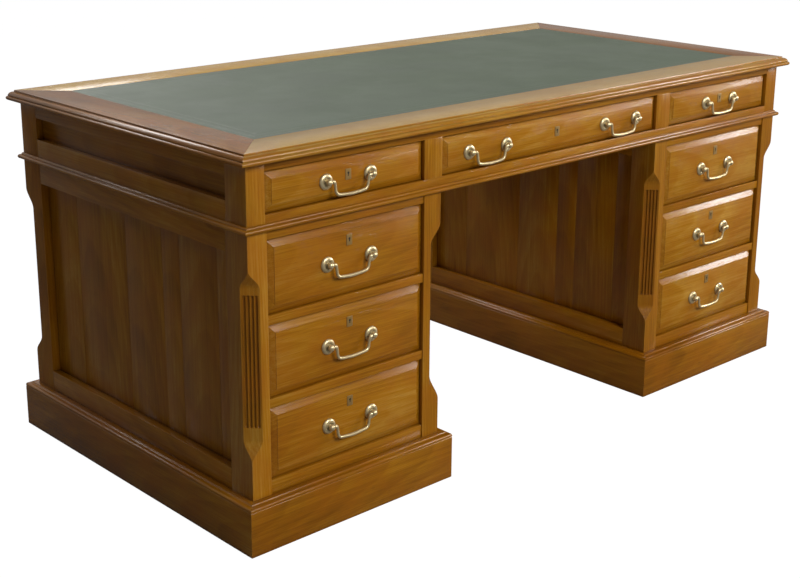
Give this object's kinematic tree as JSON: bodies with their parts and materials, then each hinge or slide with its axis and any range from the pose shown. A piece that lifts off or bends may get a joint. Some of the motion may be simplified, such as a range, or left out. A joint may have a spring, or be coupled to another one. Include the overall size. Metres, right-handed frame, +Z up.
{
  "type": "partners desk",
  "caption": "Pedestal partners desk with a leather-lined moulded top, fielded drawers with swan-neck bails, canted fluted corners and a kneehole right through.",
  "frame": {"origin": "on the floor, under the middle of the desk", "axes": "+X to the right along the desk as seen from the drawer side, -Y out of the drawer side, +Z up"},
  "size_m": [1.676, 0.838, 0.762],
  "materials": {
    "writing_leather": "semi-matt, tooled border line",
    "show_wood": "golden-brown polish, waxed",
    "carcass_wood": "bare planed oak",
    "brass": "aged, lightly polished"
  },
  "bodies": {
    "desk": {"leather_inset": "writing_leather", "top_board": "carcass_wood", "top_border": "show_wood", "frieze_rails": "show_wood", "frieze_stiles": "show_wood", "frieze_ends": "show_wood", "frieze_runners": "carcass_wood", "waist_moulding": "show_wood", "side_rails": "show_wood", "side_panels": "show_wood", "plinths": "show_wood", "left_corner_posts": "show_wood", "right_corner_posts": "show_wood", "left_drawer_rails": "show_wood", "right_drawer_rails": "show_wood", "left_carcass_boards": "carcass_wood", "right_carcass_boards": "carcass_wood", "door_hinge_leaves": "brass"},
    "frieze_drawer_left": {"frieze_drawer_left": "show_wood", "frieze_drawer_left_fittings": "brass"},
    "frieze_drawer_left_bail": {"frieze_drawer_left_bail": "brass"},
    "frieze_drawer_middle": {"frieze_drawer_middle": "show_wood", "frieze_drawer_middle_fittings": "brass"},
    "frieze_drawer_middle_bail_left": {"frieze_drawer_middle_bail_left": "brass"},
    "frieze_drawer_middle_bail_right": {"frieze_drawer_middle_bail_right": "brass"},
    "frieze_drawer_right": {"frieze_drawer_right": "show_wood", "frieze_drawer_right_fittings": "brass"},
    "frieze_drawer_right_bail": {"frieze_drawer_right_bail": "brass"},
    "back_drawer_left": {"back_drawer_left": "show_wood", "back_drawer_left_fittings": "brass"},
    "back_drawer_left_bail": {"back_drawer_left_bail": "brass"},
    "back_drawer_middle": {"back_drawer_middle": "show_wood", "back_drawer_middle_fittings": "brass"},
    "back_drawer_middle_bail_left": {"back_drawer_middle_bail_left": "brass"},
    "back_drawer_middle_bail_right": {"back_drawer_middle_bail_right": "brass"},
    "back_drawer_right": {"back_drawer_right": "show_wood", "back_drawer_right_fittings": "brass"},
    "back_drawer_right_bail": {"back_drawer_right_bail": "brass"},
    "left_drawer_top": {"left_drawer_top": "show_wood", "left_drawer_top_fittings": "brass"},
    "left_drawer_top_bail": {"left_drawer_top_bail": "brass"},
    "left_drawer_middle": {"left_drawer_middle": "show_wood", "left_drawer_middle_fittings": "brass"},
    "left_drawer_middle_bail": {"left_drawer_middle_bail": "brass"},
    "left_drawer_bottom": {"left_drawer_bottom": "show_wood", "left_drawer_bottom_fittings": "brass"},
    "left_drawer_bottom_bail": {"left_drawer_bottom_bail": "brass"},
    "right_drawer_top": {"right_drawer_top": "show_wood", "right_drawer_top_fittings": "brass"},
    "right_drawer_top_bail": {"right_drawer_top_bail": "brass"},
    "right_drawer_middle": {"right_drawer_middle": "show_wood", "right_drawer_middle_fittings": "brass"},
    "right_drawer_middle_bail": {"right_drawer_middle_bail": "brass"},
    "right_drawer_bottom": {"right_drawer_bottom": "show_wood", "right_drawer_bottom_fittings": "brass"},
    "right_drawer_bottom_bail": {"right_drawer_bottom_bail": "brass"},
    "left_door": {"left_door": "show_wood", "left_door_fittings": "brass"},
    "right_door": {"right_door": "show_wood", "right_door_fittings": "brass"}
  },
  "joints": [
    {"name": "frieze_drawer_left_slide", "type": "slide", "parent": "desk", "child": "frieze_drawer_left", "axis": [0, -1, 0], "range_m": [0, 0.3]},
    {"name": "frieze_drawer_left_bail_hinge", "type": "hinge", "parent": "frieze_drawer_left", "child": "frieze_drawer_left_bail", "pos_m": [-0.581, -0.407, 0.681], "axis": [-1, 0, 0], "range_deg": [0, 95]},
    {"name": "frieze_drawer_middle_slide", "type": "slide", "parent": "desk", "child": "frieze_drawer_middle", "axis": [0, -1, 0], "range_m": [0, 0.3]},
    {"name": "frieze_drawer_middle_bail_left_hinge", "type": "hinge", "parent": "frieze_drawer_middle", "child": "frieze_drawer_middle_bail_left", "pos_m": [-0.21, -0.407, 0.681], "axis": [-1, 0, 0], "range_deg": [0, 95]},
    {"name": "frieze_drawer_middle_bail_right_hinge", "type": "hinge", "parent": "frieze_drawer_middle", "child": "frieze_drawer_middle_bail_right", "pos_m": [0.21, -0.407, 0.681], "axis": [-1, 0, 0], "range_deg": [0, 95]},
    {"name": "frieze_drawer_right_slide", "type": "slide", "parent": "desk", "child": "frieze_drawer_right", "axis": [0, -1, 0], "range_m": [0, 0.3]},
    {"name": "frieze_drawer_right_bail_hinge", "type": "hinge", "parent": "frieze_drawer_right", "child": "frieze_drawer_right_bail", "pos_m": [0.581, -0.407, 0.681], "axis": [-1, 0, 0], "range_deg": [0, 95]},
    {"name": "back_drawer_left_slide", "type": "slide", "parent": "desk", "child": "back_drawer_left", "axis": [0, 1, 0], "range_m": [0, 0.18]},
    {"name": "back_drawer_left_bail_hinge", "type": "hinge", "parent": "back_drawer_left", "child": "back_drawer_left_bail", "pos_m": [-0.581, 0.407, 0.681], "axis": [1, 0, 0], "range_deg": [0, 95]},
    {"name": "back_drawer_middle_slide", "type": "slide", "parent": "desk", "child": "back_drawer_middle", "axis": [0, 1, 0], "range_m": [0, 0.18]},
    {"name": "back_drawer_middle_bail_left_hinge", "type": "hinge", "parent": "back_drawer_middle", "child": "back_drawer_middle_bail_left", "pos_m": [0.21, 0.407, 0.681], "axis": [1, 0, 0], "range_deg": [0, 95]},
    {"name": "back_drawer_middle_bail_right_hinge", "type": "hinge", "parent": "back_drawer_middle", "child": "back_drawer_middle_bail_right", "pos_m": [-0.21, 0.407, 0.681], "axis": [1, 0, 0], "range_deg": [0, 95]},
    {"name": "back_drawer_right_slide", "type": "slide", "parent": "desk", "child": "back_drawer_right", "axis": [0, 1, 0], "range_m": [0, 0.18]},
    {"name": "back_drawer_right_bail_hinge", "type": "hinge", "parent": "back_drawer_right", "child": "back_drawer_right_bail", "pos_m": [0.581, 0.407, 0.681], "axis": [1, 0, 0], "range_deg": [0, 95]},
    {"name": "left_drawer_top_slide", "type": "slide", "parent": "desk", "child": "left_drawer_top", "axis": [0, -1, 0], "range_m": [0, 0.3]},
    {"name": "left_drawer_top_bail_hinge", "type": "hinge", "parent": "left_drawer_top", "child": "left_drawer_top_bail", "pos_m": [-0.579, -0.407, 0.5225], "axis": [-1, 0, 0], "range_deg": [0, 95]},
    {"name": "left_drawer_middle_slide", "type": "slide", "parent": "desk", "child": "left_drawer_middle", "axis": [0, -1, 0], "range_m": [0, 0.3]},
    {"name": "left_drawer_middle_bail_hinge", "type": "hinge", "parent": "left_drawer_middle", "child": "left_drawer_middle_bail", "pos_m": [-0.579, -0.407, 0.3605], "axis": [-1, 0, 0], "range_deg": [0, 95]},
    {"name": "left_drawer_bottom_slide", "type": "slide", "parent": "desk", "child": "left_drawer_bottom", "axis": [0, -1, 0], "range_m": [0, 0.3]},
    {"name": "left_drawer_bottom_bail_hinge", "type": "hinge", "parent": "left_drawer_bottom", "child": "left_drawer_bottom_bail", "pos_m": [-0.579, -0.407, 0.1985], "axis": [-1, 0, 0], "range_deg": [0, 95]},
    {"name": "right_drawer_top_slide", "type": "slide", "parent": "desk", "child": "right_drawer_top", "axis": [0, -1, 0], "range_m": [0, 0.3]},
    {"name": "right_drawer_top_bail_hinge", "type": "hinge", "parent": "right_drawer_top", "child": "right_drawer_top_bail", "pos_m": [0.579, -0.407, 0.5225], "axis": [-1, 0, 0], "range_deg": [0, 95]},
    {"name": "right_drawer_middle_slide", "type": "slide", "parent": "desk", "child": "right_drawer_middle", "axis": [0, -1, 0], "range_m": [0, 0.3]},
    {"name": "right_drawer_middle_bail_hinge", "type": "hinge", "parent": "right_drawer_middle", "child": "right_drawer_middle_bail", "pos_m": [0.579, -0.407, 0.3605], "axis": [-1, 0, 0], "range_deg": [0, 95]},
    {"name": "right_drawer_bottom_slide", "type": "slide", "parent": "desk", "child": "right_drawer_bottom", "axis": [0, -1, 0], "range_m": [0, 0.3]},
    {"name": "right_drawer_bottom_bail_hinge", "type": "hinge", "parent": "right_drawer_bottom", "child": "right_drawer_bottom_bail", "pos_m": [0.579, -0.407, 0.1985], "axis": [-1, 0, 0], "range_deg": [0, 95]},
    {"name": "left_door_hinge", "type": "hinge", "parent": "desk", "child": "left_door", "pos_m": [-0.77138, 0.4003, 0.3625], "axis": [0, 0, 1], "range_deg": [0, 100]},
    {"name": "right_door_hinge", "type": "hinge", "parent": "desk", "child": "right_door", "pos_m": [0.77138, 0.4003, 0.3625], "axis": [0, 0, -1], "range_deg": [0, 100]}
  ]
}
